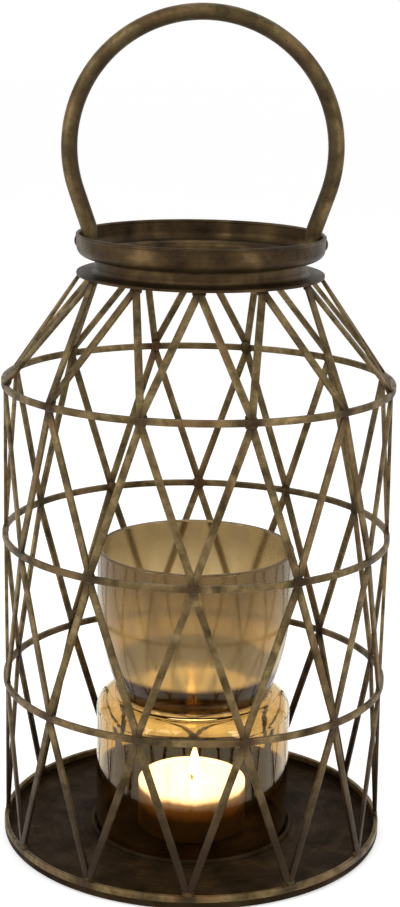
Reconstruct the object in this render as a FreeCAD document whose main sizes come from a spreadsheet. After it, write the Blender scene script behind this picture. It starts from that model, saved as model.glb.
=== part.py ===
import FreeCAD, Part
import math
import os
import types
import Sketcher

# An openwork metal lantern that stands on a table. Twelve-sided lattice work of
# flat bars is welded between five hoops of flat iron and closes in, over a cone
# shaped shoulder, under a spun collar. A rod handle swings on two pins in the
# collar. A waisted hurricane glass and a pillar candle stand inside on the tray.
# The origin is the middle of the tray's underside, with +Z up and -Y in front.

sizes_of_the_lantern = [
    # The cage, which is the same radius from the tray to the shoulder.
    ("body_radius", 135.0, "outside radius of the tray and of the hoops of the cage"),
    ("nodes_around", 12, "crossings of the lattice on each hoop"),
    ("ring_height", 4.6, "height of a hoop of flat iron"),
    ("ring_thickness", 3.0, "thickness of a hoop of flat iron"),
    ("lower_ring_level", 117.0, "middle of the lower hoop above the table"),
    ("middle_ring_level", 221.0, "middle of the middle hoop above the table"),
    ("shoulder_ring_level", 328.0, "middle of the shoulder hoop above the table"),
    ("bar_width", 5.0, "width of a lattice bar, square to its length"),
    ("bar_thickness", 2.4, "thickness of a lattice bar"),
    ("bar_inset", 3.0, "middle of a shoulder bar inside the edge of the collar's foot"),
    # The tray.
    ("tray_thickness", 2.0, "sheet of the tray"),
    ("tray_rim_height", 5.4, "top of the tray's turned-up edge above the table"),
    ("tray_bend", 1.2, "inside radius of the tray's bend"),
    # The glass, and the ring on the tray that keeps it in the middle.
    ("glass_radius", 69.0, "outside radius of the glass"),
    ("glass_wall", 3.0, "wall of the glass"),
    ("glass_height", 208.0, "height of the glass"),
    ("glass_shoulder_bend", 12.0, "outside radius of the drum's shoulder"),
    ("glass_waist_bend", 2.5, "outside radius of the groove at the waist"),
    ("glass_bowl_bend", 226.0, "outside radius of the bowl's swell"),
    ("glass_rim_rise", 25.0, "straight rim of the glass above the widest place of its bowl"),
    ("locating_clearance", 0.6, "play between the glass and the ring round its foot"),
    ("locating_ring_width", 3.0, "width of the ring round the glass's foot"),
    ("locating_ring_side", 1.5, "straight side of the ring below its round top"),
    # The candle.
    ("candle_radius", 38.5, "radius of the candle"),
    ("candle_height", 34.0, "height of the candle's edge above the tray"),
    ("candle_edge_bend", 1.5, "radius of the candle's outer edges"),
    ("candle_edge_width", 4.0, "edge of the candle outside the pool of wax"),
    ("candle_pool_depth", 2.5, "depth of the pool of wax"),
    ("wick_radius", 1.1, "radius of the wick"),
    ("wick_seat", 4.0, "bottom of the wick above the candle's foot"),
    ("wick_rise", 5.0, "straight part of the wick above the pool"),
    ("wick_curl_bend", 7.0, "radius of the wick's curled end"),
    ("wick_curl_angle", 50.0, "turn of the wick's curled end, in degrees"),
    # The collar, spun from one sheet.
    ("collar_level", 401.4, "underside of the collar's foot above the table"),
    ("collar_sheet", 1.6, "sheet of the collar"),
    ("neck_clearance", 0.9, "play between the glass and the neck of the collar"),
    ("collar_foot_width", 12.5, "foot of the collar outside its neck"),
    ("collar_foot_bend", 3.5, "outside radius of the bend over the foot"),
    ("collar_neck_height", 4.5, "straight neck of the collar"),
    ("collar_throat_bend", 3.0, "outside radius of the bend over the neck"),
    ("collar_throat_lead", 2.5, "lip's bend outside the throat's bend"),
    ("collar_lip_bend", 7.0, "outside radius of the lip's bend"),
    ("collar_wall_height", 7.3, "wall of the lip up to the middle of its bead"),
    ("collar_bead_bulge", 0.5, "rolled bead beyond each side of the sheet"),
    # The handle and its pins.
    ("rod_radius", 5.5, "radius of the handle's rod"),
    ("leg_clearance", 1.3, "play between a leg of the handle and the collar's wall"),
    ("leg_straight", 6.2, "straight end of a leg above its pin"),
    ("leg_bend", 15.0, "radius of the bend in a leg"),
    ("leg_lean", 19.0, "lean of a leg outwards, in degrees"),
    ("leg_spread", 8.55, "how far a leg spreads on its way up"),
    ("pin_radius", 2.5, "radius of a pin"),
    ("pin_rise", 2.3, "pin above the middle of the lip's bend"),
    ("pin_play", 0.06, "running play of a pin in the handle, on the radius"),
    ("pin_end_play", 0.4, "play past the inner end of a pin"),
    ("pin_skin", 1.2, "rod left over beyond the bore"),
    ("pin_head_lip", 1.1, "head of a pin beyond its shank"),
    ("pin_head_edge", 0.5, "straight edge of a pin's head"),
    ("pin_head_dome", 1.1, "dome on a pin's head"),
    # One overrun serves every cut.
    ("cut_overrun", 12.0, "how far a cut runs past what it cuts"),
]

document = FreeCAD.newDocument("Lantern")
sheet = document.addObject("Spreadsheet::Sheet", "Sizes")
for row, (name, value, meaning) in enumerate(sizes_of_the_lantern, start=1):
    sheet.set(f"A{row}", meaning)
    sheet.set(f"B{row}", str(value))
    sheet.setAlias(f"B{row}", name)
document.recompute()


# A size is a number together with the rule that works it out from the sheet, so
# that every outline is drawn at its true place and stays tied to the sheet.
class Size:
    def __init__(self, value, rule):
        self.value = float(value)
        self.rule = rule

    def __add__(self, other):
        other = as_size(other)
        return Size(self.value + other.value, f"({self.rule} + {other.rule})")

    def __sub__(self, other):
        other = as_size(other)
        return Size(self.value - other.value, f"({self.rule} - {other.rule})")

    def __mul__(self, other):
        other = as_size(other)
        return Size(self.value * other.value, f"({self.rule} * {other.rule})")

    def __truediv__(self, other):
        other = as_size(other)
        return Size(self.value / other.value, f"({self.rule} / {other.rule})")

    def __neg__(self):
        return Size(-self.value, f"(-1 * {self.rule})")


def as_size(value):
    if isinstance(value, Size):
        return value
    return Size(value, repr(value))


def sine(angle):
    return Size(math.sin(math.radians(angle.value)), f"sin({angle.rule})")


def cosine(angle):
    return Size(math.cos(math.radians(angle.value)), f"cos({angle.rule})")


def angle_of_slope(slope):
    return Size(math.degrees(math.atan(slope.value)), f"atan({slope.rule})")


def tangent(angle):
    return Size(math.tan(math.radians(angle.value)), f"tan({angle.rule})")


def square_root(size):
    return Size(math.sqrt(size.value), f"sqrt({size.rule})")


def long_side(one, other):
    return square_root(one * one + other * other)


def short_side(longest, other):
    return square_root(longest * longest - other * other)


size = types.SimpleNamespace(
    **{name: Size(getattr(sheet, name), f"Sizes.{name}") for name, _, _ in sizes_of_the_lantern}
)
nothing = Size(0, "0")

sub_parts = []


def new_body(label, level=nothing, turn=nothing):
    body = document.addObject("PartDesign::Body", label)
    body.Label = label
    body.setExpression("Placement.Base.z", level.rule)
    body.setExpression("Placement.Rotation.Angle", turn.rule)
    sub_parts.append(body)
    return body


def origin_feature(body, role):
    for feature in body.Origin.OriginFeatures:
        if feature.Role == role:
            return feature
    raise ValueError(role)


def new_sketch(body, name, plane="XZ_Plane"):
    sketch = body.newObject("Sketcher::SketchObject", name)
    sketch.AttachmentSupport = [(origin_feature(body, plane), "")]
    sketch.MapMode = "FlatFace"
    return sketch


def hold_constraint(sketch, constraint, measure):
    index = sketch.addConstraint(constraint)
    sketch.setExpression(f"Constraints[{index}]", measure.rule)


# Holds one end of a line or arc at its place from the sketch's origin.
def hold_point(sketch, curve, end, across, up):
    if across is nothing:
        sketch.addConstraint(Sketcher.Constraint("PointOnObject", curve, end, -2))
    else:
        placed = Sketcher.Constraint("DistanceX", -1, 1, curve, end, across.value)
        hold_constraint(sketch, placed, across)
    if up is nothing:
        sketch.addConstraint(Sketcher.Constraint("PointOnObject", curve, end, -1))
    else:
        placed = Sketcher.Constraint("DistanceY", -1, 1, curve, end, up.value)
        hold_constraint(sketch, placed, up)


# The centre of an arc of less than half a circle, on the named side of its chord.
def arc_centre(start, end, radius, side):
    chord = (end[0] - start[0], end[1] - start[1])
    half = math.hypot(chord[0], chord[1]) / 2
    rise = math.sqrt(max(radius * radius - half * half, 0)) / (2 * half)
    if side == "right":
        rise = -rise
    across = (start[0] + end[0]) / 2 - chord[1] * rise
    up = (start[1] + end[1]) / 2 + chord[0] * rise
    return across, up


def draw_arc(sketch, start, end, radius, side):
    across, up = arc_centre(start, end, radius, side)
    circle = Part.Circle(FreeCAD.Vector(across, up, 0), FreeCAD.Vector(0, 0, 1), radius)
    first, last = (start, end) if side == "left" else (end, start)
    turn_on = math.atan2(first[1] - up, first[0] - across)
    turn_off = math.atan2(last[1] - up, last[0] - across)
    if turn_off < turn_on:
        turn_off += 2 * math.pi
    curve = sketch.addGeometry(Part.ArcOfCircle(circle, turn_on, turn_off), False)
    return (curve, 1, 2) if side == "left" else (curve, 2, 1)


# Draws a run of lines and arcs through points. A step is the point that it goes to
# and, for an arc, its radius and the side of the arc's centre on the way there.
def draw_run(sketch, start, steps, closed=True):
    drawn = []
    place = start
    for step in steps:
        here = (place[0].value, place[1].value)
        there = (step[0].value, step[1].value)
        if len(step) == 4:
            curve, begin, finish = draw_arc(sketch, here, there, step[2].value, step[3])
            measure = Sketcher.Constraint("Radius", curve, step[2].value)
            hold_constraint(sketch, measure, step[2])
        else:
            line = Part.LineSegment(
                FreeCAD.Vector(here[0], here[1], 0), FreeCAD.Vector(there[0], there[1], 0)
            )
            curve, begin, finish = sketch.addGeometry(line, False), 1, 2
        drawn.append((curve, begin, finish))
        hold_point(sketch, curve, finish, step[0], step[1])
        place = step
    for before, after in zip(drawn, drawn[1:]):
        joined = Sketcher.Constraint("Coincident", before[0], before[2], after[0], after[1])
        sketch.addConstraint(joined)
    if closed:
        joined = Sketcher.Constraint(
            "Coincident", drawn[-1][0], drawn[-1][2], drawn[0][0], drawn[0][1]
        )
        sketch.addConstraint(joined)
    else:
        hold_point(sketch, drawn[0][0], drawn[0][1], start[0], start[1])


def draw_block(sketch, left, bottom, right, top):
    steps = [(right, bottom), (right, top), (left, top), (left, bottom)]
    draw_run(sketch, (left, bottom), steps)


def draw_circle(sketch, across, up, radius):
    circle = Part.Circle(
        FreeCAD.Vector(across.value, up.value, 0), FreeCAD.Vector(0, 0, 1), radius.value
    )
    curve = sketch.addGeometry(circle, False)
    hold_constraint(sketch, Sketcher.Constraint("Radius", curve, radius.value), radius)
    hold_point(sketch, curve, 3, across, up)


def revolve(body, sketch, axis="V_Axis"):
    turned = body.newObject("PartDesign::Revolution", "Turned")
    turned.Profile = sketch
    turned.ReferenceAxis = (sketch, [axis])
    turned.Angle = 360
    body.Tip = turned
    return turned


# A cut that takes nothing away is a fault, so every cut is weighed.
def weigh_cut(body, cut):
    body.Tip = cut
    document.recompute()
    if cut.Shape.isNull() or cut.Shape.Volume >= cut.BaseFeature.Shape.Volume:
        raise ValueError(f"{body.Label}: {cut.Name} cuts nothing")


# One flat ring with a square section, its underside at the body's own zero.
def flat_ring(label, level):
    body = new_body(label, level)
    section = new_sketch(body, "Section")
    inside = size.body_radius - size.ring_thickness
    draw_block(section, inside, nothing, size.body_radius, size.ring_height)
    revolve(body, section)


def base_tray():
    body = new_body("base_tray")
    section = new_sketch(body, "Section")
    outer_bend = size.tray_bend + size.tray_thickness
    wall_inside = size.body_radius - size.tray_thickness
    floor_edge = size.body_radius - outer_bend
    start = (nothing, nothing)
    steps = [
        (floor_edge, nothing),
        (size.body_radius, outer_bend, outer_bend, "left"),
        (size.body_radius, size.tray_rim_height),
        (wall_inside, size.tray_rim_height),
        (wall_inside, outer_bend),
        (floor_edge, size.tray_thickness, size.tray_bend, "right"),
        (nothing, size.tray_thickness),
        (nothing, nothing),
    ]
    draw_run(section, start, steps)
    revolve(body, section)


# The lattice is cut into upright slices, one for each bar, by planes through the
# lantern's axis and its crossings. The bars lean right in every other slice and
# left in the rest, so that two bars meet face to face at each crossing.
def slice_angle():
    return Size(180, "180") / size.nodes_around


# One tier of bars that lean the same way. A bar is a flat strip in the plane of its
# slice, which stands upright in the body of the cage and leans in on its shoulder.
def lattice_bars(label, low_level, high_level, low_radius, high_radius, low_turn, lean):
    half_slice = slice_angle() / 2
    middle_turn = low_turn + half_slice if lean == "right" else low_turn - half_slice
    body = new_body(label, low_level, middle_turn)
    way = 1 if lean == "right" else -1

    height = high_level - low_level
    inward = cosine(half_slice) * (low_radius - high_radius)
    slope_length = long_side(height, inward)
    low_side = sine(half_slice) * low_radius
    sideways = sine(half_slice) * (low_radius + high_radius)
    bar_length = long_side(slope_length, sideways)
    half_width = size.bar_width / 2 * bar_length / slope_length
    run_on = size.cut_overrun * sideways / slope_length

    strip = new_sketch(body, "Strip")
    tilt = FreeCAD.Rotation(FreeCAD.Vector(1, 0, 0), -1)
    strip.AttachmentOffset = FreeCAD.Placement(FreeCAD.Vector(0, 0, 0), tilt)
    strip.setExpression("AttachmentOffset.Base.z", (cosine(half_slice) * low_radius).rule)
    if low_radius is not high_radius:
        slope = -angle_of_slope(inward / height)
        strip.setExpression("AttachmentOffset.Rotation.Angle", slope.rule)
    else:
        strip.AttachmentOffset.Rotation = FreeCAD.Rotation()
        strip.setExpression("AttachmentOffset.Rotation.Angle", nothing.rule)
    bottom = -size.cut_overrun
    top = slope_length + size.cut_overrun
    bottom_middle = -(low_side + run_on)
    top_middle = sideways - low_side + run_on
    corners = [
        ((bottom_middle + half_width) * way, bottom),
        ((top_middle + half_width) * way, top),
        ((top_middle - half_width) * way, top),
        ((bottom_middle - half_width) * way, bottom),
    ]
    draw_run(strip, corners[-1], corners)
    bar = body.newObject("PartDesign::Pad", "Bar")
    bar.Profile = strip
    bar.SideType = "Symmetric"
    bar.setExpression("Length", size.bar_thickness.rule)
    body.Tip = bar
    document.recompute()

    reach = low_radius + size.cut_overrun
    beyond = new_sketch(body, "BeyondTheSlice", "YZ_Plane")
    draw_block(beyond, nothing, -size.cut_overrun * 2, reach, height + size.cut_overrun * 2)
    mitre = body.newObject("PartDesign::Groove", "Mitre")
    mitre.Profile = beyond
    mitre.ReferenceAxis = (beyond, ["V_Axis"])
    mitre.Midplane = True
    mitre.setExpression("Angle", (Size(360, "360") - slice_angle()).rule)
    weigh_cut(body, mitre)

    past_the_hoops = new_sketch(body, "PastTheHoops", "YZ_Plane")
    draw_block(past_the_hoops, nothing, -size.cut_overrun * 2, reach, nothing)
    draw_block(past_the_hoops, nothing, height, reach, height + size.cut_overrun * 2)
    seats = body.newObject("PartDesign::Groove", "Seats")
    seats.Profile = past_the_hoops
    seats.ReferenceAxis = (past_the_hoops, ["V_Axis"])
    seats.Angle = 360
    weigh_cut(body, seats)

    around = body.newObject("PartDesign::PolarPattern", "Around")
    around.Axis = (past_the_hoops, ["V_Axis"])
    around.TransformMode = "Whole shape"
    around.Angle = 360
    around.setExpression("Occurrences", size.nodes_around.rule)
    body.Tip = around


def lattice():
    bar_radius = size.body_radius - size.ring_thickness / 2
    top_radius = collar_foot_radius() - size.bar_inset
    half_ring = size.ring_height / 2
    base_top = size.tray_rim_height + size.ring_height
    levels = [size.lower_ring_level, size.middle_ring_level, size.shoulder_ring_level]
    tiers = [
        ("base", base_top, levels[0] - half_ring, bar_radius),
        ("lower", levels[0] + half_ring, levels[1] - half_ring, bar_radius),
        ("upper", levels[1] + half_ring, levels[2] - half_ring, bar_radius),
        ("shoulder", levels[2] + half_ring, size.collar_level, top_radius),
    ]
    for count, (name, low_level, high_level, high_radius) in enumerate(tiers):
        low_turn = slice_angle() if count % 2 else nothing
        for lean in ("right", "left"):
            label = f"{name}_bars_leaning_{lean}"
            lattice_bars(label, low_level, high_level, bar_radius, high_radius, low_turn, lean)


# The glass is a drum with a round shoulder, a grooved waist and a bowl that swells
# to the drum's own radius. All the bends meet smoothly, and the inside follows the
# outside at the wall's thickness.
def glass_hurricane():
    body = new_body("glass_hurricane", size.tray_thickness)
    section = new_sketch(body, "Section")
    waist_middle = size.glass_radius - size.glass_shoulder_bend
    bowl_middle = size.glass_radius - size.glass_bowl_bend
    reach = size.glass_bowl_bend + size.glass_waist_bend
    across = size.glass_bowl_bend - size.glass_shoulder_bend
    drop = short_side(reach, across)
    bowl_level = size.glass_height - size.glass_rim_rise
    waist_level = bowl_level - drop
    shoulder_level = waist_level - size.glass_waist_bend - size.glass_shoulder_bend
    shoulder_top = shoulder_level + size.glass_shoulder_bend
    inside_radius = size.glass_radius - size.glass_wall
    rim_bend = size.glass_wall / 2
    rim_level = size.glass_height - rim_bend
    inner_bowl = size.glass_bowl_bend - size.glass_wall
    inner_waist = size.glass_waist_bend + size.glass_wall
    inner_shoulder = size.glass_shoulder_bend - size.glass_wall
    outer_throat = (
        bowl_middle + size.glass_bowl_bend * across / reach,
        bowl_level - size.glass_bowl_bend * drop / reach,
    )
    inner_throat = (
        bowl_middle + inner_bowl * across / reach,
        bowl_level - inner_bowl * drop / reach,
    )
    steps = [
        (size.glass_radius, nothing),
        (size.glass_radius, shoulder_level),
        (waist_middle, shoulder_top, size.glass_shoulder_bend, "left"),
        (*outer_throat, size.glass_waist_bend, "right"),
        (size.glass_radius, bowl_level, size.glass_bowl_bend, "left"),
        (size.glass_radius, rim_level),
        (size.glass_radius - rim_bend, size.glass_height, rim_bend, "left"),
        (inside_radius, rim_level, rim_bend, "left"),
        (inside_radius, bowl_level),
        (*inner_throat, inner_bowl, "right"),
        (waist_middle, shoulder_top - size.glass_wall, inner_waist, "left"),
        (inside_radius, shoulder_level, inner_shoulder, "right"),
        (inside_radius, nothing),
    ]
    draw_run(section, (inside_radius, nothing), steps)
    revolve(body, section)


def glass_locating_ring():
    body = new_body("glass_locating_ring", size.tray_thickness)
    section = new_sketch(body, "Section")
    inside = size.glass_radius + size.locating_clearance
    outside = inside + size.locating_ring_width
    bend = size.locating_ring_width / 2
    side = size.locating_ring_side
    steps = [
        (outside, nothing),
        (outside, side),
        (inside + bend, side + bend, bend, "left"),
        (inside, side, bend, "left"),
        (inside, nothing),
    ]
    draw_run(section, (inside, nothing), steps)
    revolve(body, section)


def candle_wax():
    body = new_body("candle_wax", size.tray_thickness)
    section = new_sketch(body, "Section")
    bend = size.candle_edge_bend
    depth = size.candle_pool_depth
    pool_level = size.candle_height - depth
    pool_radius = size.candle_radius - size.candle_edge_width
    steps = [
        (size.candle_radius - bend, nothing),
        (size.candle_radius, bend, bend, "left"),
        (size.candle_radius, size.candle_height - bend),
        (size.candle_radius - bend, size.candle_height, bend, "left"),
        (pool_radius, size.candle_height),
        (pool_radius - depth, pool_level, depth, "right"),
        (size.wick_radius, pool_level),
        (size.wick_radius, size.wick_seat),
        (nothing, size.wick_seat),
        (nothing, nothing),
    ]
    draw_run(section, (nothing, nothing), steps)
    revolve(body, section)


def candle_wick():
    body = new_body("candle_wick", size.tray_thickness + size.wick_seat)
    thickness = new_sketch(body, "Thickness", "XY_Plane")
    draw_circle(thickness, nothing, nothing, size.wick_radius)
    way = new_sketch(body, "Way")
    bend = size.wick_curl_bend
    straight = size.candle_height - size.candle_pool_depth - size.wick_seat + size.wick_rise
    curled = (
        bend - bend * cosine(size.wick_curl_angle),
        straight + bend * sine(size.wick_curl_angle),
    )
    steps = [(nothing, straight), (*curled, bend, "right")]
    draw_run(way, (nothing, nothing), steps, closed=False)
    wick = body.newObject("PartDesign::AdditivePipe", "Wick")
    wick.Profile = thickness
    wick.Spine = way
    body.Tip = wick


def collar_neck_radius():
    return size.glass_radius + size.neck_clearance + size.collar_sheet


def collar_foot_radius():
    return collar_neck_radius() + size.collar_foot_width


def collar_lip_radius():
    turned_out = size.collar_throat_bend + size.collar_throat_lead + size.collar_lip_bend
    return collar_neck_radius() + turned_out


# Levels in the collar are from the underside of its foot.
def collar_throat_level():
    return size.collar_sheet + size.collar_foot_bend + size.collar_neck_height


def collar_lip_level():
    bends = size.collar_throat_bend + size.collar_lip_bend
    return collar_throat_level() + short_side(bends, size.collar_throat_lead)


def pin_level():
    return size.collar_level + collar_lip_level() + size.pin_rise


# The collar is one spun sheet: a flat foot on the shoulder bars, a short neck, a
# lip that turns out over it and up, and a bead rolled on the lip's edge.
def collar():
    body = new_body("collar", size.collar_level)
    section = new_sketch(body, "Section")
    sheet_metal = size.collar_sheet
    neck = collar_neck_radius()
    neck_inside = neck - sheet_metal
    foot_middle = neck + size.collar_foot_bend
    foot_bend_level = sheet_metal + size.collar_foot_bend
    throat_middle = neck + size.collar_throat_bend
    throat_level = collar_throat_level()
    lip = collar_lip_radius()
    lip_inside = lip - sheet_metal
    lip_middle = lip - size.collar_lip_bend
    lip_level = collar_lip_level()
    bends = size.collar_throat_bend + size.collar_lip_bend
    across_share = size.collar_throat_lead / bends
    up_share = (lip_level - throat_level) / bends
    outer_throat = (
        throat_middle + size.collar_throat_bend * across_share,
        throat_level + size.collar_throat_bend * up_share,
    )
    inner_throat_bend = size.collar_throat_bend + sheet_metal
    inner_throat = (
        throat_middle + inner_throat_bend * across_share,
        throat_level + inner_throat_bend * up_share,
    )
    bead = sheet_metal / 2 + size.collar_bead_bulge
    bead_middle = lip - sheet_metal / 2
    bead_level = lip_level + size.collar_wall_height
    bead_foot = bead_level - short_side(bead, sheet_metal / 2)
    steps = [
        (collar_foot_radius(), nothing),
        (collar_foot_radius(), sheet_metal),
        (foot_middle, sheet_metal),
        (neck, foot_bend_level, size.collar_foot_bend, "right"),
        (neck, throat_level),
        (*outer_throat, size.collar_throat_bend, "right"),
        (lip, lip_level, size.collar_lip_bend, "left"),
        (lip, bead_foot),
        (bead_middle + bead, bead_level, bead, "left"),
        (bead_middle, bead_level + bead, bead, "left"),
        (bead_middle - bead, bead_level, bead, "left"),
        (lip_inside, bead_foot, bead, "left"),
        (lip_inside, lip_level),
        (*inner_throat, size.collar_lip_bend - sheet_metal, "right"),
        (neck_inside, throat_level, inner_throat_bend, "left"),
        (neck_inside, foot_bend_level),
        (foot_middle, nothing, size.collar_foot_bend + sheet_metal, "left"),
    ]
    draw_run(section, (foot_middle, nothing), steps)
    revolve(body, section)
    document.recompute()

    pin_hole = new_sketch(body, "PinHole", "YZ_Plane")
    draw_circle(pin_hole, nothing, lip_level + size.pin_rise, size.pin_radius)
    drilled = body.newObject("PartDesign::Pocket", "Drilled")
    drilled.Profile = pin_hole
    drilled.SideType = "Symmetric"
    drilled.setExpression("Length", ((lip + size.cut_overrun) * 2).rule)
    weigh_cut(body, drilled)


def leg_middle():
    inside = collar_lip_radius() - size.collar_sheet
    return inside - size.leg_clearance - size.rod_radius


def pin_inner_end():
    return leg_middle() - size.rod_radius + size.pin_skin + size.pin_end_play


# The handle is one bent rod. From each pin a leg stands straight up past the lip,
# bends outwards and runs smoothly into the hoop. Levels are from the pins.
def handle_hoop():
    body = new_body("handle_hoop", pin_level())
    leg = leg_middle()
    rod = size.rod_radius
    bend_run = size.leg_bend * tangent(size.leg_lean / 2)
    corner = size.leg_straight + bend_run
    lean_across = sine(size.leg_lean)
    lean_up = cosine(size.leg_lean)
    bend_end = (leg + bend_run * lean_across, corner + bend_run * lean_up)
    hoop_end = (
        leg + size.leg_spread,
        corner + size.leg_spread * lean_up / lean_across,
    )
    hoop_radius = hoop_end[0] / lean_up
    hoop_top = hoop_end[1] + hoop_radius * lean_across + hoop_radius

    way = new_sketch(body, "Way")
    right_leg = [
        (leg, size.leg_straight),
        (*bend_end, size.leg_bend, "right"),
        hoop_end,
        (nothing, hoop_top, hoop_radius, "left"),
    ]
    left_leg = [
        (-hoop_end[0], hoop_end[1], hoop_radius, "left"),
        (-bend_end[0], bend_end[1]),
        (-leg, size.leg_straight, size.leg_bend, "right"),
        (-leg, nothing),
    ]
    draw_run(way, (leg, nothing), right_leg + left_leg, closed=False)
    thickness = new_sketch(body, "Thickness", "XY_Plane")
    draw_circle(thickness, leg, nothing, rod)
    bent_rod = body.newObject("PartDesign::AdditivePipe", "BentRod")
    bent_rod.Profile = thickness
    bent_rod.Spine = way
    body.Tip = bent_rod
    document.recompute()

    round_end = new_sketch(body, "RoundEnd")
    steps = [(leg, -rod), (leg + rod, nothing, rod, "left"), (leg, nothing)]
    draw_run(round_end, (leg, nothing), steps)
    centre_line = Part.LineSegment(
        FreeCAD.Vector(leg.value, 0, 0), FreeCAD.Vector(leg.value, rod.value, 0)
    )
    axis = round_end.addGeometry(centre_line, True)
    hold_point(round_end, axis, 1, leg, nothing)
    hold_point(round_end, axis, 2, leg, rod)
    ends = revolve(body, round_end, "Axis0")
    ends.Label = "RoundEnds"
    document.recompute()

    bore = new_sketch(body, "Bore", "YZ_Plane")
    bore_start = leg - rod + size.pin_skin
    bore.setExpression("AttachmentOffset.Base.z", bore_start.rule)
    draw_circle(bore, nothing, nothing, size.pin_radius + size.pin_play)
    bored = body.newObject("PartDesign::Pocket", "Bored")
    bored.Profile = bore
    bored.Reversed = True
    bored.setExpression("Length", (rod * 2).rule)
    weigh_cut(body, bored)

    other_end = body.newObject("PartDesign::Mirrored", "OtherEnd")
    other_end.Originals = [ends, bored]
    other_end.MirrorPlane = (origin_feature(body, "YZ_Plane"), [""])
    body.Tip = other_end


# A pin is a plain shank, through the collar's wall into the rod's bore, with a low
# domed head outside. It lies along the body's own X.
def handle_pin(label, turn):
    body = new_body(label, pin_level(), turn)
    section = new_sketch(body, "Section", "XY_Plane")
    head = size.pin_radius + size.pin_head_lip
    seat = collar_lip_radius()
    head_edge = seat + size.pin_head_edge
    head_top = head_edge + size.pin_head_dome
    dome_bend = (head * head + size.pin_head_dome * size.pin_head_dome) / size.pin_head_dome / 2
    steps = [
        (head_top, nothing),
        (head_edge, head, dome_bend, "left"),
        (seat, head),
        (seat, size.pin_radius),
        (pin_inner_end(), size.pin_radius),
        (pin_inner_end(), nothing),
    ]
    draw_run(section, (pin_inner_end(), nothing), steps)
    revolve(body, section, "H_Axis")


base_tray()
flat_ring("base_ring", size.tray_rim_height)
flat_ring("lower_ring", size.lower_ring_level - size.ring_height / 2)
flat_ring("middle_ring", size.middle_ring_level - size.ring_height / 2)
flat_ring("shoulder_ring", size.shoulder_ring_level - size.ring_height / 2)
lattice()
collar()
handle_hoop()
handle_pin("handle_pin_right", nothing)
handle_pin("handle_pin_left", Size(180, "180"))
glass_locating_ring()
glass_hurricane()
candle_wax()
candle_wick()
document.recompute()

for item in document.Objects:
    if "Invalid" in item.State or "Error" in item.State:
        raise ValueError(f"{item.Name} is {item.State}")
for part in sub_parts:
    if part.Shape.isNull() or not part.Shape.isValid() or not part.Shape.Solids:
        raise ValueError(f"{part.Label} has no sound shape")

os.makedirs("parts", exist_ok=True)
for part in sub_parts:
    part.Shape.exportStep(f"parts/{part.Label}.step")
    print(f"{part.Label}: {len(part.Shape.Solids)} solids, {part.Shape.Volume:.0f} cubic mm")
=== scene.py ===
import math
import bpy
import bmesh
from mathutils import Matrix, Vector, noise


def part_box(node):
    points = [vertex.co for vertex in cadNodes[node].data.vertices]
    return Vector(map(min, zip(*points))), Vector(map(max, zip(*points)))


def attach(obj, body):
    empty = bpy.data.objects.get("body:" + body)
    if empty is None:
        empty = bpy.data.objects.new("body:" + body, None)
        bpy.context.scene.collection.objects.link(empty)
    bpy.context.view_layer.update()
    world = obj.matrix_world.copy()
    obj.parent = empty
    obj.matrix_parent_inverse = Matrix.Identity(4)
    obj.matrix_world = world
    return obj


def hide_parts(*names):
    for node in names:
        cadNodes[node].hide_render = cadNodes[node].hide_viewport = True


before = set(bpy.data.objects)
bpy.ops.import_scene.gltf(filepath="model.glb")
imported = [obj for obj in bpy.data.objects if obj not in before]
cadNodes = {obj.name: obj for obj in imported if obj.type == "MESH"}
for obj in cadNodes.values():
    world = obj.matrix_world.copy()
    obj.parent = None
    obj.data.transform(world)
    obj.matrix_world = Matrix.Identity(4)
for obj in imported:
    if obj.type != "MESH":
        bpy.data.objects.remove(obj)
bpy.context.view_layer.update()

# Openwork metal lantern with a waisted brown glass and a lit pillar candle.
scene = bpy.context.scene
print("frame loaded:", len(cadNodes), "nodes")

# Camera, set to the photograph's angle

cameraPlace = {
    "spot": (0.0112, -1.2343, 0.5775),
    "lookDown": 13.70,      # degrees below level
    "turnLeft": 0.44,
    "roll": 1.01,
    "lens": 72.78,
    "sees": 60,             # metres
}

cameraData = bpy.data.cameras.new("photographAngle")
cameraData.lens = cameraPlace["lens"]
cameraData.clip_end = cameraPlace["sees"]
camera = bpy.data.objects.new("photographAngle", cameraData)
scene.collection.objects.link(camera)
camera.matrix_world = (
    Matrix.Translation(cameraPlace["spot"])
    @ Matrix.Rotation(math.radians(cameraPlace["turnLeft"]), 4, "Z")
    @ Matrix.Rotation(math.radians(90 - cameraPlace["lookDown"]), 4, "X")
    @ Matrix.Rotation(math.radians(cameraPlace["roll"]), 4, "Z")
)
scene.camera = camera
print("camera placed")


# Small helpers for materials: each adds a node or two and hands back a socket

def newMaterial(name):
    material = bpy.data.materials.new(name)
    material.use_nodes = True
    tree = material.node_tree
    tree.nodes.clear()
    output = tree.nodes.new("ShaderNodeOutputMaterial")
    shader = tree.nodes.new("ShaderNodeBsdfPrincipled")
    tree.links.new(shader.outputs["BSDF"], output.inputs["Surface"])
    return material, tree, shader


def feed(tree, socket, value):
    if isinstance(value, bpy.types.NodeSocket):
        tree.links.new(value, socket)
    else:
        socket.default_value = value


def addNode(tree, kind, inputs=None, **settings):
    node = tree.nodes.new(kind)
    for key, value in settings.items():
        setattr(node, key, value)
    for key, value in (inputs or {}).items():
        feed(tree, node.inputs[key], value)
    return node


def objectPlace(tree):
    return addNode(tree, "ShaderNodeTexCoord").outputs["Object"]


def axes(tree, place):
    return addNode(tree, "ShaderNodeSeparateXYZ", {0: place}).outputs


def noiseField(tree, place, scale, detail=4.0, roughness=0.55, distortion=0.0):
    return addNode(tree, "ShaderNodeTexNoise", {
        "Vector": place, "Scale": scale, "Detail": detail,
        "Roughness": roughness, "Distortion": distortion,
    }).outputs["Fac"]


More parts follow.
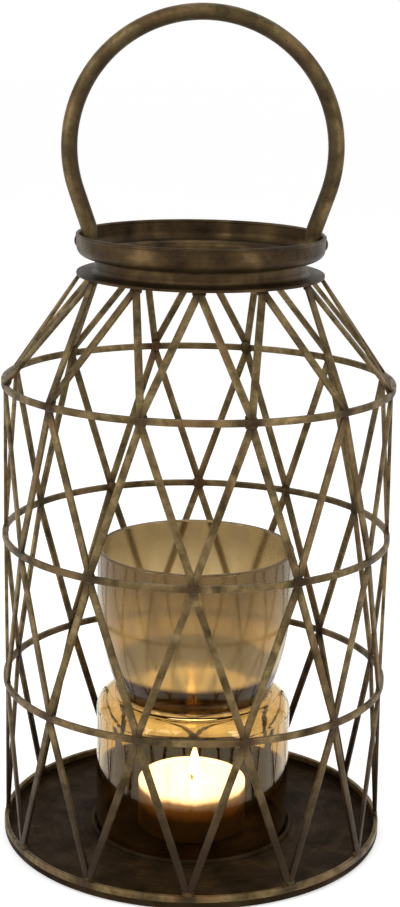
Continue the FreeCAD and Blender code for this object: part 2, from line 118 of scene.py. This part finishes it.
def spread(tree, source, low, high, toLow=0.0, toHigh=1.0):
    return addNode(tree, "ShaderNodeMapRange", {
        "Value": source, "From Min": low, "From Max": high,
        "To Min": toLow, "To Max": toHigh,
    }).outputs["Result"]


def maths(tree, operation, first, second=0.0):
    return addNode(tree, "ShaderNodeMath", {0: first, 1: second}, operation=operation).outputs[0]


def times(tree, first, second):
    return maths(tree, "MULTIPLY", first, second)


def plus(tree, first, second):
    return maths(tree, "ADD", first, second)


def distance(tree, first, second):
    return maths(tree, "SQRT", plus(tree, times(tree, first, first), times(tree, second, second)))


def colourRamp(tree, source, stops):
    node = addNode(tree, "ShaderNodeValToRGB", {"Fac": source})
    ramp = node.color_ramp
    while len(ramp.elements) < len(stops):
        ramp.elements.new(0.5)
    for element, (place, colour) in zip(ramp.elements, stops):
        element.position = place
        element.color = (*colour, 1)
    return node.outputs["Color"]


def mixColours(tree, amount, first, second):
    node = tree.nodes.new("ShaderNodeMix")
    node.data_type = "RGBA"
    feed(tree, node.inputs[0], amount)
    for socket, colour in ((node.inputs[6], first), (node.inputs[7], second)):
        feed(tree, socket, (*colour, 1) if isinstance(colour, tuple) else colour)
    return node.outputs[2]


def bumpFrom(tree, shader, height, strength, depth):
    bump = addNode(tree, "ShaderNodeBump", {
        "Height": height, "Strength": strength, "Distance": depth,
    })
    tree.links.new(bump.outputs["Normal"], shader.inputs["Normal"])


# How much an edge has been rubbed: the rounded normal parts from the flat one there
def rubbedEdges(tree, width, low, high):
    rounded = addNode(tree, "ShaderNodeBevel", {"Radius": width}, samples=4).outputs["Normal"]
    flat = addNode(tree, "ShaderNodeNewGeometry").outputs["Normal"]
    dot = addNode(tree, "ShaderNodeVectorMath", {0: rounded, 1: flat}, operation="DOT_PRODUCT")
    return spread(tree, dot.outputs["Value"], high, low)


# Where the bars meet on each hoop: degrees from the front to the first of twelve crossings

crossings = {"base": 0, "lower": 15, "middle": 0, "shoulder": 15}
crossingStep = 30


def hoopMiddle(hoop):
    low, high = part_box(f"{hoop}_ring")
    return (low.z + high.z) / 2


# The bronze is burnt dark round each crossing

weldTint = {
    "reach": 0.0105,        # metres from the crossing
    "core": 0.003,          # fully burnt within
    "strength": 0.80,
    "cageRadius": 0.1335,
}
weldPlaces = [(hoopMiddle(hoop), first) for hoop, first in crossings.items()]
weldPlaces.append((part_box("collar")[0].z, 0))


def nearWelds(tree, place):
    parts = axes(tree, place)
    turn = maths(tree, "ARCTAN2", parts["X"], times(tree, parts["Y"], -1.0))
    halfStep = math.radians(crossingStep / 2)
    tint = None
    for level, first in weldPlaces:
        shifted = plus(tree, turn, math.radians(360 - first))
        around = times(tree, maths(tree, "PINGPONG", shifted, halfStep), weldTint["cageRadius"])
        away = distance(tree, around, maths(tree, "SUBTRACT", parts["Z"], level))
        burnt = spread(tree, away, weldTint["reach"], weldTint["core"], 0.0, weldTint["strength"])
        tint = burnt if tint is None else maths(tree, "MAXIMUM", tint, burnt)
    return tint


# Painted shade: the bars of the lowest tier darken towards the tray

footPaintedShade = {"from": 0.108, "to": 0.040, "strength": 0.94}     # metres over the floor


def paintedShadeNearTray(tree, place):
    level = axes(tree, place)["Z"]
    return spread(tree, level, footPaintedShade["from"], footPaintedShade["to"], 0.0, footPaintedShade["strength"])


# Painted shade: the hoop of the handle is darker on its inner side

innerPaintedShade = {"from": 0.75, "to": 1.45, "strength": 0.75}      # rod radii in from the outside


def paintedShadeInsideHoop(tree, place):
    low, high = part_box("handle_hoop")
    radius = (high.x - low.x) / 2
    rod = (high.y - low.y) / 2
    parts = axes(tree, place)
    away = distance(tree, parts["X"], maths(tree, "SUBTRACT", parts["Z"], high.z - radius))
    shadeStart = radius - rod * innerPaintedShade["from"]
    shadeEnd = radius - rod * innerPaintedShade["to"]
    return spread(tree, away, shadeStart, shadeEnd, 0.0, innerPaintedShade["strength"])


# Aged bronze, the finish of the cage and the handle

agedBronze = {
    "dark": (0.031, 0.019, 0.0065),
    "olive": (0.103, 0.070, 0.025),
    "tan": (0.245, 0.171, 0.072),
    "rust": (0.165, 0.086, 0.038),
    "rubbedBright": (0.36, 0.265, 0.130),
    "burnt": (0.022, 0.0105, 0.0035),
    "patchSize": 70.0,          # noise scales, larger is finer
    "grimeSize": 420.0,
    "rustSize": 26.0,
    "wearSize": 160.0,
    "dentSize": 230.0,
    "edgeWidth": 0.0011,        # metres
    "metallic": 0.45,
    "gloss": 0.20,
    "roughness": (0.38, 0.60),
    "dentStrength": 0.40,
    "dentDepth": 0.0009,
}


def bronzeMaterial(name, darker=1.0, rubbed=0.55, warm=0.0, patchSize=None, gloss=None, burnsAndPaintedShades=()):
    material, tree, shader = newMaterial(name)
    place = objectPlace(tree)
    dark, olive, tan, rust = (
        tuple(channel * darker for channel in agedBronze[key]) for key in ("dark", "olive", "tan", "rust")
    )
    patches = noiseField(tree, place, patchSize or agedBronze["patchSize"], 5.0, 0.62, 0.4)
    colour = colourRamp(tree, patches, [(0.30, dark), (0.47, olive), (0.70, tan)])
    grime = noiseField(tree, place, agedBronze["grimeSize"], 3.0, 0.6)
    colour = mixColours(tree, spread(tree, grime, 0.42, 0.30, 0.0, 0.55), colour, dark)
    reddish = noiseField(tree, place, agedBronze["rustSize"], 3.0, 0.5)
    colour = mixColours(tree, spread(tree, reddish, 0.50, 0.66, 0.0, 0.45 + warm), colour, rust)
    wear = rubbedEdges(tree, agedBronze["edgeWidth"], 0.80, 0.985)
    broken = spread(tree, noiseField(tree, place, agedBronze["wearSize"]), 0.40, 0.60)
    worn = times(tree, times(tree, wear, broken), rubbed)
    colour = mixColours(tree, worn, colour, agedBronze["rubbedBright"])
    # Each mark darkens the colour: the painted shade inside the handle's hoop goes to the dark tone, burnt
    # welds and the painted shade by the tray to the burnt tone
    for shade in burnsAndPaintedShades:
        shaded = dark if shade is paintedShadeInsideHoop else agedBronze["burnt"]
        colour = mixColours(tree, shade(tree, place), colour, shaded)
    tree.links.new(colour, shader.inputs["Base Color"])
    shader.inputs["Specular IOR Level"].default_value = gloss or agedBronze["gloss"]
    shader.inputs["Metallic"].default_value = agedBronze["metallic"]
    smooth, rough = agedBronze["roughness"]
    tree.links.new(spread(tree, patches, 0.3, 0.7, rough, smooth), shader.inputs["Roughness"])
    dents = plus(tree, noiseField(tree, place, agedBronze["dentSize"], 3.0), times(tree, grime, 0.35))
    bumpFrom(tree, shader, dents, agedBronze["dentStrength"], agedBronze["dentDepth"])
    return material


cageBronze = bronzeMaterial("cageBronze", burnsAndPaintedShades=(nearWelds,))
# The lowest tier's bronze: a darker copy of the cage's as painted shade, with more painted shade towards
# the tray
footBronzePaintedShade = bronzeMaterial("footBronzePaintedShade", darker=0.78, burnsAndPaintedShades=(nearWelds, paintedShadeNearTray))
handleBronze = bronzeMaterial("handleBronze", darker=0.83, rubbed=0.35, patchSize=48.0,
                              burnsAndPaintedShades=(paintedShadeInsideHoop,))
weldBronze = bronzeMaterial("weldBronze", darker=0.48, rubbed=0.30, warm=0.25, patchSize=190.0,
                            gloss=0.06)
pinBronze = bronzeMaterial("pinBronze", darker=0.34, rubbed=0.50, patchSize=160.0)


# The collar and the tray are dark spun sheet with faint turning lines all the way round

collarFinish = {
    "dark": (0.016, 0.009, 0.004),
    "brown": (0.054, 0.033, 0.014),
    "bright": (0.125, 0.080, 0.034),
    "metallic": 0.70,
    "gloss": 0.12,
    "roughness": (0.38, 0.52),
    "lineSpacing": 1500.0,      # lines to the metre, along the sheet
    "lineStrength": 0.25,
    "shadedBelow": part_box("collar")[0].z + 0.0045,
}
trayFinish = {
    "dark": (0.010, 0.0057, 0.0023),
    "brown": (0.027, 0.0158, 0.0066),
    "bright": (0.060, 0.036, 0.015),
    "metallic": 0.0,
    "gloss": 0.03,
    "roughness": (0.46, 0.64),
    "lineSpacing": 420.0,
    "lineStrength": 0.20,
    "shadedBelow": -1.0,        # nowhere
}
spunSheet = {
    "patchSize": 38.0,
    "wearSize": 120.0,
    "grainSize": 300.0,
    "lineShare": 0.22,          # how much of the tone the lines carry, the rest is patches
    "edgeWidth": 0.0012,
    "wear": 0.45,
    "shade": 0.30,
    "shadeBlur": 0.002,
    "lineDepth": 0.0004,
}


def spunBronze(name, finish):
    material, tree, shader = newMaterial(name)
    place = objectPlace(tree)
    parts = axes(tree, place)
    along = plus(tree, distance(tree, parts["X"], parts["Y"]), parts["Z"])
    lines = addNode(tree, "ShaderNodeTexNoise", {
        "W": times(tree, along, finish["lineSpacing"]),
        "Scale": 1.0, "Detail": 3.0, "Roughness": 0.6,
    }, noise_dimensions="1D").outputs["Fac"]
    patches = noiseField(tree, place, spunSheet["patchSize"], 5.0, 0.6, 0.3)
    both = plus(tree, times(tree, patches, 1 - spunSheet["lineShare"]),
                times(tree, lines, spunSheet["lineShare"]))
    colour = colourRamp(tree, both, [
        (0.34, finish["dark"]), (0.52, finish["brown"]), (0.72, finish["bright"]),
    ])
    wear = rubbedEdges(tree, spunSheet["edgeWidth"], 0.75, 0.98)
    broken = spread(tree, noiseField(tree, place, spunSheet["wearSize"]), 0.42, 0.62)
    worn = times(tree, times(tree, wear, broken), spunSheet["wear"])
    colour = mixColours(tree, worn, colour, finish["bright"])
    above = finish["shadedBelow"] + spunSheet["shadeBlur"]
    below = finish["shadedBelow"] - spunSheet["shadeBlur"]
    shaded = spread(tree, parts["Z"], above, below, 0.0, spunSheet["shade"])
    colour = mixColours(tree, shaded, colour, finish["dark"])
    tree.links.new(colour, shader.inputs["Base Color"])
    shader.inputs["Metallic"].default_value = finish["metallic"]
    shader.inputs["Specular IOR Level"].default_value = finish["gloss"]
    smooth, rough = finish["roughness"]
    dulled = plus(tree, spread(tree, patches, 0.3, 0.7, rough, smooth), times(tree, shaded, 0.25))
    tree.links.new(dulled, shader.inputs["Roughness"])
    grain = noiseField(tree, place, spunSheet["grainSize"], 3.0)
    fine = plus(tree, times(tree, lines, 0.5), grain)
    bumpFrom(tree, shader, fine, finish["lineStrength"], spunSheet["lineDepth"])
    return material


spunCollar = spunBronze("spunCollar", collarFinish)
spunTray = spunBronze("spunTray", trayFinish)
print("metals mixed")


# Brown glass: a clear golden drum, a waist darkened by thick glass and painted refraction shade, and a
# hazy bowl that greys to its rim

glassFinish = {
    "golden": (0.79, 0.585, 0.275),
    "greyed": (0.275, 0.192, 0.084),
    "greyBetween": (0.155, 0.212),      # metres over the floor
    "streak": (0.42, 0.27, 0.095),
    "streakSize": (75.0, 75.0, 9.0),
    "streakLift": 0.03,                 # metres that a streak carries the grey down
    "waist": (0.035, 0.016, 0.004),
    "waistPlace": 0.538,                # thick glass and painted refraction shade just over the groove, share of the height
    "waistReach": (0.0122, 0.0082),     # metres from there, untouched and fully dark
    "roughness": (0.015, 0.055),
    "haze": (0.0, 0.22),                # share of cloudy glass, in the drum and in the bowl
    "blur": 0.09,                       # roughness that the haze adds in the bowl
    "hazeReach": 0.012,                 # metres over and under the waist in which it sets in
    "index": 1.46,
    "gloss": 0.38,
    "lustre": (1.0, 0.86, 0.62),
}


def brownGlass():
    material, tree, shader = newMaterial("brownGlass")
    place = objectPlace(tree)
    height = axes(tree, place)["Z"]
    drawn = addNode(tree, "ShaderNodeMapping", {"Vector": place, "Scale": glassFinish["streakSize"]})
    streaks = noiseField(tree, drawn.outputs["Vector"], 1.0, 4.0, 0.6, 0.3)
    lifted = plus(tree, height, times(tree, streaks, glassFinish["streakLift"]))
    toRim = spread(tree, lifted, *glassFinish["greyBetween"])
    colour = mixColours(tree, toRim, glassFinish["golden"], glassFinish["greyed"])
    streaky = spread(tree, streaks, 0.45, 0.70, 0.0, 0.45)
    colour = mixColours(tree, streaky, colour, glassFinish["streak"])
    low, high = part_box("glass_hurricane")
    waistLevel = low.z + (high.z - low.z) * glassFinish["waistPlace"]
    # Painted shade: a dark band round the waist stands in for the refraction through both walls, over the
    # thick glass's own tint
    away = maths(tree, "ABSOLUTE", maths(tree, "SUBTRACT", height, waistLevel))
    thickGlassAndPaintedShade = spread(tree, away, *glassFinish["waistReach"])
    colour = mixColours(tree, thickGlassAndPaintedShade, colour, glassFinish["waist"])
    tree.links.new(colour, shader.inputs["Base Color"])
    reach = glassFinish["hazeReach"]
    bowl = spread(tree, height, waistLevel - reach, waistLevel + reach)
    drumHaze, bowlHaze = glassFinish["haze"]
    clear = spread(tree, bowl, 0.0, 1.0, 1 - drumHaze, 1 - bowlHaze)
    tree.links.new(clear, shader.inputs["Transmission Weight"])
    shader.inputs["IOR"].default_value = glassFinish["index"]
    shader.inputs["Specular IOR Level"].default_value = glassFinish["gloss"]
    shader.inputs["Specular Tint"].default_value = (*glassFinish["lustre"], 1)
    rough = spread(tree, streaks, 0.3, 0.7, *glassFinish["roughness"])
    blurred = plus(tree, rough, times(tree, bowl, glassFinish["blur"]))
    tree.links.new(blurred, shader.inputs["Roughness"])
    bumpFrom(tree, shader, noiseField(tree, place, 40.0, 2.0), 0.08, 0.001)
    return material


glassMaterial = brownGlass()


# Ivory wax, lit from inside by its own flame, with a painted glow down its side and painted shade at its
# foot

waxFinish = {
    "top": (1.0, 0.97, 0.92),
    "side": (0.40, 0.20, 0.075),
    "foot": (0.050, 0.028, 0.014),
    "glowToShadeBetween": (0.003, 0.041),      # metres over the floor
    "glowBetween": (0.0335, 0.0385),
    "topGlow": 2.7,
    "sideGlow": 0.02,
    "poolGlow": 3.0,
    "cloudSize": 55.0,
    "cloudLift": 0.006,
    "softness": 0.35,                   # light that spreads under the skin
    "softReach": (0.010, 0.006, 0.003),
    "roughness": (0.42, 0.58),
    "poolRoughness": 0.08,
}


def glowingWax(name, topGlow, sideGlow, roughness=None):
    material, tree, shader = newMaterial(name)
    place = objectPlace(tree)
    cloud = noiseField(tree, place, waxFinish["cloudSize"])
    lifted = plus(tree, axes(tree, place)["Z"], times(tree, cloud, waxFinish["cloudLift"]))
    # The colour is painted light: ivory over the top, an orange glow down the side, painted shade at the
    # foot
    colour = colourRamp(tree, spread(tree, lifted, *waxFinish["glowToShadeBetween"]), [
        (0.0, waxFinish["foot"]),
        (0.45, waxFinish["foot"]),
        (0.72, waxFinish["side"]),
        (0.88, waxFinish["top"]),
    ])
    tree.links.new(colour, shader.inputs["Base Color"])
    tree.links.new(colour, shader.inputs["Emission Color"])
    glow = spread(tree, lifted, *waxFinish["glowBetween"], sideGlow, topGlow)
    tree.links.new(glow, shader.inputs["Emission Strength"])
    shader.inputs["Subsurface Weight"].default_value = waxFinish["softness"]
    shader.inputs["Subsurface Radius"].default_value = waxFinish["softReach"]
    shader.inputs["Subsurface Scale"].default_value = 1.0
    if roughness is None:
        roughness = spread(tree, cloud, 0.3, 0.7, *waxFinish["roughness"])
    feed(tree, shader.inputs["Roughness"], roughness)
    bumpFrom(tree, shader, noiseField(tree, place, 140.0, 3.0), 0.15, 0.0006)
    return material


waxMaterial = glowingWax("litWax", waxFinish["topGlow"], waxFinish["sideGlow"])
poolMaterial = glowingWax("moltenWax", waxFinish["poolGlow"], waxFinish["poolGlow"],
                          waxFinish["poolRoughness"])


# Cotton wick, charred from a little over the wax

wickFinish = {
    "cotton": (0.62, 0.50, 0.34),
    "singed": (0.05, 0.035, 0.025),
    "charred": (0.012, 0.010, 0.009),
    "charBetween": (0.034, 0.046),
    "fibreSize": 900.0,
    "roughness": 0.9,
}


def charredWick():
    material, tree, shader = newMaterial("charredWick")
    place = objectPlace(tree)
    fibres = noiseField(tree, place, wickFinish["fibreSize"], 3.0)
    lifted = plus(tree, axes(tree, place)["Z"], times(tree, fibres, 0.002))
    colour = colourRamp(tree, spread(tree, lifted, *wickFinish["charBetween"]), [
        (0.0, wickFinish["cotton"]), (0.35, wickFinish["singed"]), (1.0, wickFinish["charred"]),
    ])
    tree.links.new(colour, shader.inputs["Base Color"])
    shader.inputs["Roughness"].default_value = wickFinish["roughness"]
    bumpFrom(tree, shader, fibres, 0.5, 0.0003)
    return material


wickMaterial = charredWick()
print("glass, wax and wick mixed")


# Building helpers

def finishPiece(name, mesh, material, body, sharpOver):
    piece = bpy.data.objects.new(name, mesh)
    scene.collection.objects.link(piece)
    mesh.materials.clear()
    mesh.materials.append(material)
    for face in mesh.polygons:
        face.use_smooth = True
    mesh.set_sharp_from_angle(angle=math.radians(sharpOver))
    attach(piece, body)
    return piece


def meshFrom(name, shape):
    mesh = bpy.data.meshes.new(name)
    shape.to_mesh(mesh)
    shape.free()
    mesh.update()
    return mesh


def easeEdges(shape, width, segments):
    sharp = [edge for edge in shape.edges if len(edge.link_faces) == 2 and edge.calc_face_angle(0) > 0.35]
    bmesh.ops.bevel(
        shape, geom=sharp, offset=width, offset_type="OFFSET", segments=segments,
        profile=0.5, affect="EDGES", material=-1, clamp_overlap=True,
    )


# Each lattice bar keeps its solid's shape and gets its edges eased as rolled flat iron has

barEdges = {"easing": 0.00055, "segments": 2, "sharpOver": 35}      # metres and degrees

for tier in ("base", "lower", "upper", "shoulder"):
    for lean in ("right", "left"):
        node = f"{tier}_bars_leaning_{lean}"
        shape = bmesh.new()
        shape.from_mesh(cadNodes[node].data)
        bmesh.ops.remove_doubles(shape, verts=shape.verts, dist=0.00002)
        bmesh.ops.dissolve_limit(
            shape, angle_limit=math.radians(2), verts=shape.verts, edges=shape.edges, delimit=set()
        )
        easeEdges(shape, barEdges["easing"], barEdges["segments"])
        bmesh.ops.recalc_face_normals(shape, faces=shape.faces)
        name = f"{tier}Bars{lean.capitalize()}"
        mesh = meshFrom(name, shape)
        bronze = footBronzePaintedShade if tier == "base" else cageBronze
        bars = finishPiece(name, mesh, bronze, "lantern", barEdges["sharpOver"])
        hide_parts(node)
print("lattice bars eased")


# The hoops of flat iron, spun from their section with eased edges

hoopSection = {"wall": 0.003, "turns": 168, "easing": 0.0006, "segments": 2, "sharpOver": 35}


def flatHoop(name, node):
    low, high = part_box(node)
    outside = high.x
    inside = outside - hoopSection["wall"]
    shape = bmesh.new()
    corners = [(inside, low.z), (outside, low.z), (outside, high.z), (inside, high.z)]
    section = [shape.verts.new((across, 0, up)) for across, up in corners]
    edges = [shape.edges.new((section[i], section[(i + 1) % 4])) for i in range(4)]
    bmesh.ops.spin(
        shape, geom=section + edges, cent=(0, 0, 0), axis=(0, 0, 1), dvec=(0, 0, 0),
        angle=math.tau, steps=hoopSection["turns"], use_merge=True,
    )
    bmesh.ops.remove_doubles(shape, verts=shape.verts, dist=0.00001)
    bmesh.ops.recalc_face_normals(shape, faces=shape.faces)
    easeEdges(shape, hoopSection["easing"], hoopSection["segments"])
    mesh = meshFrom(name, shape)
    hoop = finishPiece(name, mesh, cageBronze, "lantern", hoopSection["sharpOver"])
    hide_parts(node)


for hoopName in crossings:
    flatHoop(f"{hoopName}Hoop", f"{hoopName}_ring")
print("hoops spun")


# Weld beads, where the bars meet on each hoop and under the collar's foot

weldBead = {
    "across": 0.0042,       # half its size along the hoop
    "deep": 0.0019,
    "tall": 0.0055,
    "sizeSpread": 0.22,
    "lumps": 420,           # noise scale
    "unevenness": 0.0008,
    "radius": 0.13305,      # stays within the hoop's outside
    "sharpOver": 80,
}
baseWeld = {"over": 0.0006, "tall": weldBead["tall"] * 0.8, "across": weldBead["across"] * 1.1}
collarWeld = {"under": 0.0012, "tall": 0.0024, "across": 0.0044, "radius": 0.0810}


def weldBeads(name, level, firstTurn, radius=weldBead["radius"], tall=weldBead["tall"],
              across=weldBead["across"], leanIn=0.0):
    shape = bmesh.new()
    for count in range(360 // crossingStep):
        turn = math.radians(firstTurn + crossingStep * count)
        ball = bmesh.ops.create_icosphere(shape, subdivisions=2, radius=1.0)["verts"]
        size = 1.0 + weldBead["sizeSpread"] * noise.noise(Vector((count * 3.7, level * 40, 1.3)))
        bmesh.ops.scale(shape, vec=(across * size, weldBead["deep"], tall * size), verts=ball)
        for vert in ball:
            lump = noise.noise(vert.co * weldBead["lumps"] + Vector((count * 9.1, level * 77, 0)))
            vert.co += Vector((vert.co.x, 0, vert.co.z)).normalized() * lump * weldBead["unevenness"]
            vert.co.y += max(vert.co.z, 0) * leanIn     # follows the bars that lean in above
        bmesh.ops.translate(shape, vec=(0, -radius, level), verts=ball)
        bmesh.ops.rotate(shape, cent=(0, 0, 0), matrix=Matrix.Rotation(turn, 3, "Z"), verts=ball)
    finishPiece(name, meshFrom(name, shape), weldBronze, "lantern", weldBead["sharpOver"])


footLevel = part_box("collar")[0].z
inward = weldBead["radius"] - collarWeld["radius"]
shoulderLean = inward / (footLevel - hoopMiddle("shoulder"))
weldBeads("lowerWelds", hoopMiddle("lower"), crossings["lower"])
weldBeads("middleWelds", hoopMiddle("middle"), crossings["middle"])
weldBeads("shoulderWelds", hoopMiddle("shoulder"), crossings["shoulder"], leanIn=shoulderLean)
weldBeads("baseWelds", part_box("base_ring")[1].z + baseWeld["over"], crossings["base"],
          tall=baseWeld["tall"], across=baseWeld["across"])
weldBeads("collarWelds", footLevel - collarWeld["under"], 0,
          collarWeld["radius"], collarWeld["tall"], collarWeld["across"])
print("weld beads laid")


# The carried-over solids get their finishes, and the solids of bars and hoops the cage's own

finishes = {
    "base_tray": spunTray,
    "glass_locating_ring": spunTray,
    "collar": spunCollar,
    "handle_hoop": handleBronze,
    "handle_pin_right": pinBronze,
    "handle_pin_left": pinBronze,
    "glass_hurricane": glassMaterial,
    "candle_wax": waxMaterial,
    "candle_wick": wickMaterial,
}
for node, solid in cadNodes.items():
    solid.data.materials.clear()
    solid.data.materials.append(finishes.get(node, cageBronze))
print("solids finished")


# Molten wax round the wick

pool = {
    "radius": 0.0317,
    "depth": 0.0006,
    "below": 0.0022,        # its middle, under the candle's top
    "rimWidth": 0.0014,
    "rimRise": 0.0004,      # wax climbs at its edge
    "segments": 96,
    "sharpOver": 60,
}
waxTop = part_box("candle_wax")[1].z

shape = bmesh.new()
bmesh.ops.create_cone(
    shape, cap_ends=True, cap_tris=False, segments=pool["segments"],
    radius1=pool["radius"], radius2=pool["radius"], depth=pool["depth"],
)
surface = [face for face in shape.faces if face.normal.z > 0.9]
bmesh.ops.inset_region(shape, faces=surface, thickness=pool["rimWidth"])
climbing = [vert for vert in shape.verts if vert.co.z > 0 and vert.co.xy.length > pool["radius"] * 0.99]
bmesh.ops.translate(shape, vec=(0, 0, pool["rimRise"]), verts=climbing)
bmesh.ops.translate(shape, vec=(0, 0, waxTop - pool["below"]), verts=shape.verts)
mesh = meshFrom("moltenWax", shape)
finishPiece("moltenWax", mesh, poolMaterial, "candle", pool["sharpOver"])
print("wax molten")


# The flame over the wick

flame = {
    "tall": 0.024,
    "wide": 0.0042,
    "overWick": 0.0075,     # how far it reaches down the wick
    "aside": 0.0006,
    "belly": 0.62,          # smaller puts its widest place lower
    "fullness": 0.9,
    "taper": 0.25,
    "steps": 18,
    "turns": 28,
    "edge": (1.0, 0.50, 0.16),
    "bright": (1.0, 0.88, 0.60),
    "yellow": (1.0, 0.78, 0.38),
    "tip": (1.0, 0.50, 0.14),
    "glow": (30.0, 95.0),   # at its foot, and over it
}


def flameLight(low, high):
    material, tree, shader = newMaterial("candleFlame")
    place = objectPlace(tree)
    wisps = noiseField(tree, place, 120.0, 2.0)
    lifted = plus(tree, axes(tree, place)["Z"], times(tree, wisps, 0.003))
    share = spread(tree, lifted, low, high)
    colour = colourRamp(tree, share, [
        (0.0, flame["edge"]), (0.30, flame["bright"]), (0.75, flame["yellow"]), (1.0, flame["tip"]),
    ])
    tree.links.new(colour, shader.inputs["Base Color"])
    tree.links.new(colour, shader.inputs["Emission Color"])
    tree.links.new(spread(tree, share, 0.0, 0.35, *flame["glow"]), shader.inputs["Emission Strength"])
    shader.inputs["Roughness"].default_value = 1.0
    return material


wickLow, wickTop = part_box("candle_wick")
bottom = wickTop.z - flame["overWick"]
centre = (wickLow.x + wickTop.x) / 2 + flame["aside"]
shape = bmesh.new()
chain = [shape.verts.new((centre, 0, bottom))]
for step in range(1, flame["steps"] + 1):
    share = step / flame["steps"]
    swell = math.sin(math.pi * share ** flame["belly"]) ** flame["fullness"] * (1 - flame["taper"] * share)
    if step == flame["steps"]:
        swell = 0       # closes the tip
    chain.append(shape.verts.new((centre + flame["wide"] * swell, 0, bottom + flame["tall"] * share)))
edges = [shape.edges.new(pair) for pair in zip(chain, chain[1:])]
bmesh.ops.spin(
    shape, geom=chain + edges, cent=(centre, 0, 0), axis=(0, 0, 1), dvec=(0, 0, 0),
    angle=math.tau, steps=flame["turns"], use_merge=True,
)
bmesh.ops.remove_doubles(shape, verts=shape.verts, dist=0.00001)
bmesh.ops.recalc_face_normals(shape, faces=shape.faces)
flameMaterial = flameLight(bottom, bottom + flame["tall"])
finishPiece("candleFlame", meshFrom("candleFlame", shape), flameMaterial, "candle", 180)
print("flame lit")


# Floor, world and lamps

studio = {
    "floor": 0.86,
    "floorSoftness": 0.03,
    "floorLift": 0.47,      # glow that takes the floor to white and lights nothing
    "floorSize": 14,
    "floorDrop": 0.0002,
    "worldLight": 0.55,
    "backdrop": 1.0,
}


# One where the eye looks, straight or by way of metal and glass, and none for light on things
def seenWhite(tree):
    rays = addNode(tree, "ShaderNodeLightPath").outputs
    mirrored = maths(tree, "MAXIMUM", rays["Is Glossy Ray"], rays["Is Transmission Ray"])
    return maths(tree, "MAXIMUM", rays["Is Camera Ray"], mirrored)


def paleFloor():
    material, tree, shader = newMaterial("paleFloor")
    tone = studio["floor"]
    soft = noiseField(tree, objectPlace(tree), 1.5, 2.0)
    tones = colourRamp(tree, soft, [(0.0, (tone,) * 3), (1.0, (tone + studio["floorSoftness"],) * 3)])
    tree.links.new(tones, shader.inputs["Base Color"])
    shader.inputs["Roughness"].default_value = 0.9
    shader.inputs["Emission Color"].default_value = (1, 1, 1, 1)
    lift = times(tree, seenWhite(tree), studio["floorLift"])
    tree.links.new(lift, shader.inputs["Emission Strength"])
    return material


shape = bmesh.new()
bmesh.ops.create_grid(shape, x_segments=8, y_segments=8, size=studio["floorSize"])
floorMesh = meshFrom("floor", shape)
floorMesh.materials.append(paleFloor())
floor = bpy.data.objects.new("floor", floorMesh)
scene.collection.objects.link(floor)
floor.location.z = -studio["floorDrop"]

world = bpy.data.worlds.new("studio")
scene.world = world
world.use_nodes = True
tree = world.node_tree
tree.nodes.clear()
strength = spread(tree, seenWhite(tree), 0.0, 1.0, studio["worldLight"], studio["backdrop"])
background = addNode(tree, "ShaderNodeBackground", {"Color": (1, 1, 1, 1), "Strength": strength})
addNode(tree, "ShaderNodeOutputWorld", {"Surface": background.outputs["Background"]})

lamps = {
    "keyLamp": {"spot": (-0.9, -1.5, 1.6), "target": (0, 0, 0.3), "power": 9.0, "size": (0.9, 0.9)},
    "leftStrip": {"spot": (-1.3, -0.9, 0.6), "target": (0, 0, 0.35), "power": 7.0, "size": (0.25, 1.2)},
    "rightStrip": {"spot": (1.2, -1.0, 0.6), "target": (0, 0, 0.35), "power": 7.0, "size": (0.25, 1.2)},
    "topFill": {"spot": (0.3, 0.6, 1.8), "target": (0, 0, 0.2), "power": 5.0, "size": (1.2, 1.2)},
}
for lampName, lamp in lamps.items():
    data = bpy.data.lights.new(lampName, "AREA")
    data.shape = "RECTANGLE"
    data.size, data.size_y = lamp["size"]
    data.energy = lamp["power"]
    softBox = bpy.data.objects.new(lampName, data)
    scene.collection.objects.link(softBox)
    softBox.location = lamp["spot"]
    aim = Vector(lamp["target"]) - Vector(lamp["spot"])
    softBox.rotation_euler = aim.to_track_quat("-Z", "Y").to_euler()

scene.view_settings.view_transform = "Standard"
print("studio lit")
